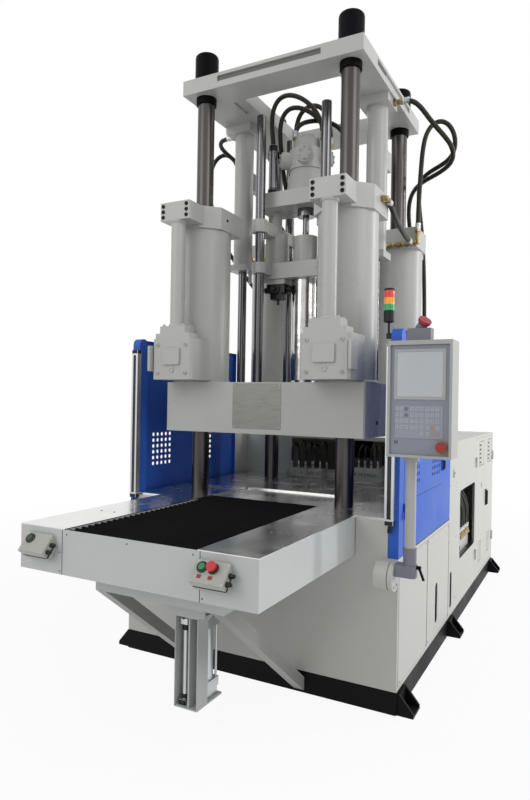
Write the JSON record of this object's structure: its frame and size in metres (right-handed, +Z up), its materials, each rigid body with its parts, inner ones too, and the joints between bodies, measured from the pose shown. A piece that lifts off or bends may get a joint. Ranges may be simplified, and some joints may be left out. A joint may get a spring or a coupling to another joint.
{
  "type": "injection moulding machine",
  "caption": "Vertical injection moulding machine: four tie bars, moving platen with clamp cylinders, injection unit above, sliding mould table in front.",
  "frame": {"origin": "on the floor, at the centre of the rectangle of four corner anchor holes", "axes": "+Z up, +Y from the operator's table to the rear housing, +X to the operator's right"},
  "size_m": [2.076, 4.2729, 3.704],
  "materials": {
    "housing_white": "semi-gloss enamel",
    "machine_grey": "semi-gloss enamel",
    "base_black": "satin enamel",
    "guard_blue": "gloss powder coat",
    "deck_steel": "polished sheet",
    "bright_rod": "ground and chromed",
    "cap_black": "gloss black",
    "hose_rubber": "matt",
    "bellows_cloth": "coated fabric",
    "panel_grey": "fine texture",
    "control_plastic": "satin",
    "button_green": "gloss",
    "button_red": "gloss",
    "tower_lens": "clear coloured",
    "sensor_black": "matt",
    "aluminium": "anodised",
    "tank_grey": "enamel"
  },
  "bodies": {
    "frame": {"base_frame": "base_black", "press_frame": "base_black", "table_braces": "base_black", "lower_platen": "machine_grey", "top_plate": "machine_grey", "lift_cylinders": "machine_grey", "front_housing": "housing_white", "rear_housing": "housing_white", "table_covers": "housing_white", "pump_unit": "tank_grey", "hose_manifold": "tank_grey", "deck_plates": "deck_steel", "slide_rails": "deck_steel", "deck_manifolds": "aluminium", "ejector_cylinder": "aluminium", "light_curtains": "aluminium", "table_frame": "machine_grey", "ejector_bracket": "machine_grey", "bellows": "bellows_cloth", "tie_bars": "bright_rod", "clamp_pistons": "bright_rod", "tie_bar_nuts": "cap_black", "guard_posts": "guard_blue", "signal_tower": "tower_lens", "arm_flange": "panel_grey", "arm_elbow": "panel_grey", "hand_stations": "panel_grey", "hose_lift": "hose_rubber", "hose_clamp": "hose_rubber", "pump_hoses": "hose_rubber"},
    "platen": {"moving_platen": "machine_grey", "clamp_cylinders": "machine_grey", "head_blocks": "machine_grey", "transfer_pipes": "machine_grey", "valve_blocks": "machine_grey", "guide_rods": "bright_rod", "lift_rods": "bright_rod", "hose_head": "hose_rubber"},
    "carriage": {"injection_carriage": "machine_grey", "barrel": "deck_steel", "barrel_shroud": "deck_steel"},
    "crosshead": {"crosshead": "machine_grey", "screw_motor": "machine_grey", "hose_motor": "hose_rubber"},
    "screw": {"screw_shaft": "bright_rod"},
    "mould_table": {"mould_plate": "deck_steel"},
    "ejector": {"ejector_rod": "bright_rod"},
    "right_door": {"side_door_right": "guard_blue"},
    "left_door": {"side_door_left": "guard_blue"},
    "front_leaf": {"cabinet_door_front": "housing_white"},
    "rear_leaf": {"cabinet_door_rear": "housing_white"},
    "panel_arm": {"arm_pole": "panel_grey", "panel_housing": "panel_grey", "palm_station": "panel_grey"},
    "lever": {"arm_lever": "cap_black"},
    "left_start": {"start_button_left": "button_green"},
    "right_start": {"start_button_right": "button_green"},
    "right_stop": {"stop_button_right": "button_red"},
    "panel_button": {"panel_stop": "button_red"},
    "palm": {"palm_button": "button_red"}
  },
  "joints": [
    {"name": "platen_slide", "type": "slide", "parent": "frame", "child": "platen", "axis": [0, 0, -1], "range_m": [0, 0.34]},
    {"name": "carriage_slide", "type": "slide", "parent": "platen", "child": "carriage", "axis": [0, 0, 1], "range_m": [0, 0.2]},
    {"name": "injection_stroke", "type": "slide", "parent": "carriage", "child": "crosshead", "axis": [0, 0, 1], "range_m": [-0.085, 0.14]},
    {"name": "screw_spin", "type": "hinge", "parent": "crosshead", "child": "screw", "pos_m": [0, -0.886, 2.8], "axis": [0, 0, 1], "continuous": true},
    {"name": "table_slide", "type": "slide", "parent": "frame", "child": "mould_table", "axis": [0, -1, 0], "range_m": [0, 1.05], "deforming": ["bellows"]},
    {"name": "ejector_slide", "type": "slide", "parent": "frame", "child": "ejector", "axis": [0, 0, 1], "range_m": [0, 0.14]},
    {"name": "right_door_hinge", "type": "hinge", "parent": "frame", "child": "right_door", "pos_m": [0.858, -1.501, 1.35], "axis": [0, 0, -1], "range_deg": [0, 90]},
    {"name": "left_door_hinge", "type": "hinge", "parent": "frame", "child": "left_door", "pos_m": [-0.858, -1.501, 1.35], "axis": [0, 0, 1], "range_deg": [0, 90]},
    {"name": "front_leaf_hinge", "type": "hinge", "parent": "frame", "child": "front_leaf", "pos_m": [0.858, 0.655, 0.7], "axis": [0, 0, -1], "range_deg": [0, 110]},
    {"name": "rear_leaf_hinge", "type": "hinge", "parent": "frame", "child": "rear_leaf", "pos_m": [0.858, 1.545, 0.7], "axis": [0, 0, 1], "range_deg": [0, 110]},
    {"name": "panel_swivel", "type": "hinge", "parent": "frame", "child": "panel_arm", "pos_m": [0.941, -1.715, 1], "axis": [0, 0, 1], "range_deg": [-45, 60]},
    {"name": "lever_turn", "type": "hinge", "parent": "frame", "child": "lever", "pos_m": [0.974, -1.715, 0.783], "axis": [1, 0, 0], "range_deg": [-60, 60]},
    {"name": "left_start_press", "type": "slide", "parent": "frame", "child": "left_start", "axis": [0, 0.766, -0.6428], "range_m": [0, 0.005], "stiffness_N_per_m": 500, "springref_m": -0.004},
    {"name": "right_start_press", "type": "slide", "parent": "frame", "child": "right_start", "axis": [0, 0.766, -0.6428], "range_m": [0, 0.005], "stiffness_N_per_m": 500, "springref_m": -0.004},
    {"name": "right_stop_press", "type": "slide", "parent": "frame", "child": "right_stop", "axis": [0, 0.766, -0.6428], "range_m": [0, 0.005], "stiffness_N_per_m": 500, "springref_m": -0.004},
    {"name": "panel_stop_press", "type": "slide", "parent": "panel_arm", "child": "panel_button", "axis": [0, 1, 0], "range_m": [0, 0.005], "stiffness_N_per_m": 500, "springref_m": -0.004},
    {"name": "palm_press", "type": "slide", "parent": "panel_arm", "child": "palm", "axis": [-0.5481, 0.3838, -0.7431], "range_m": [0, 0.005], "stiffness_N_per_m": 500, "springref_m": -0.004}
  ]
}
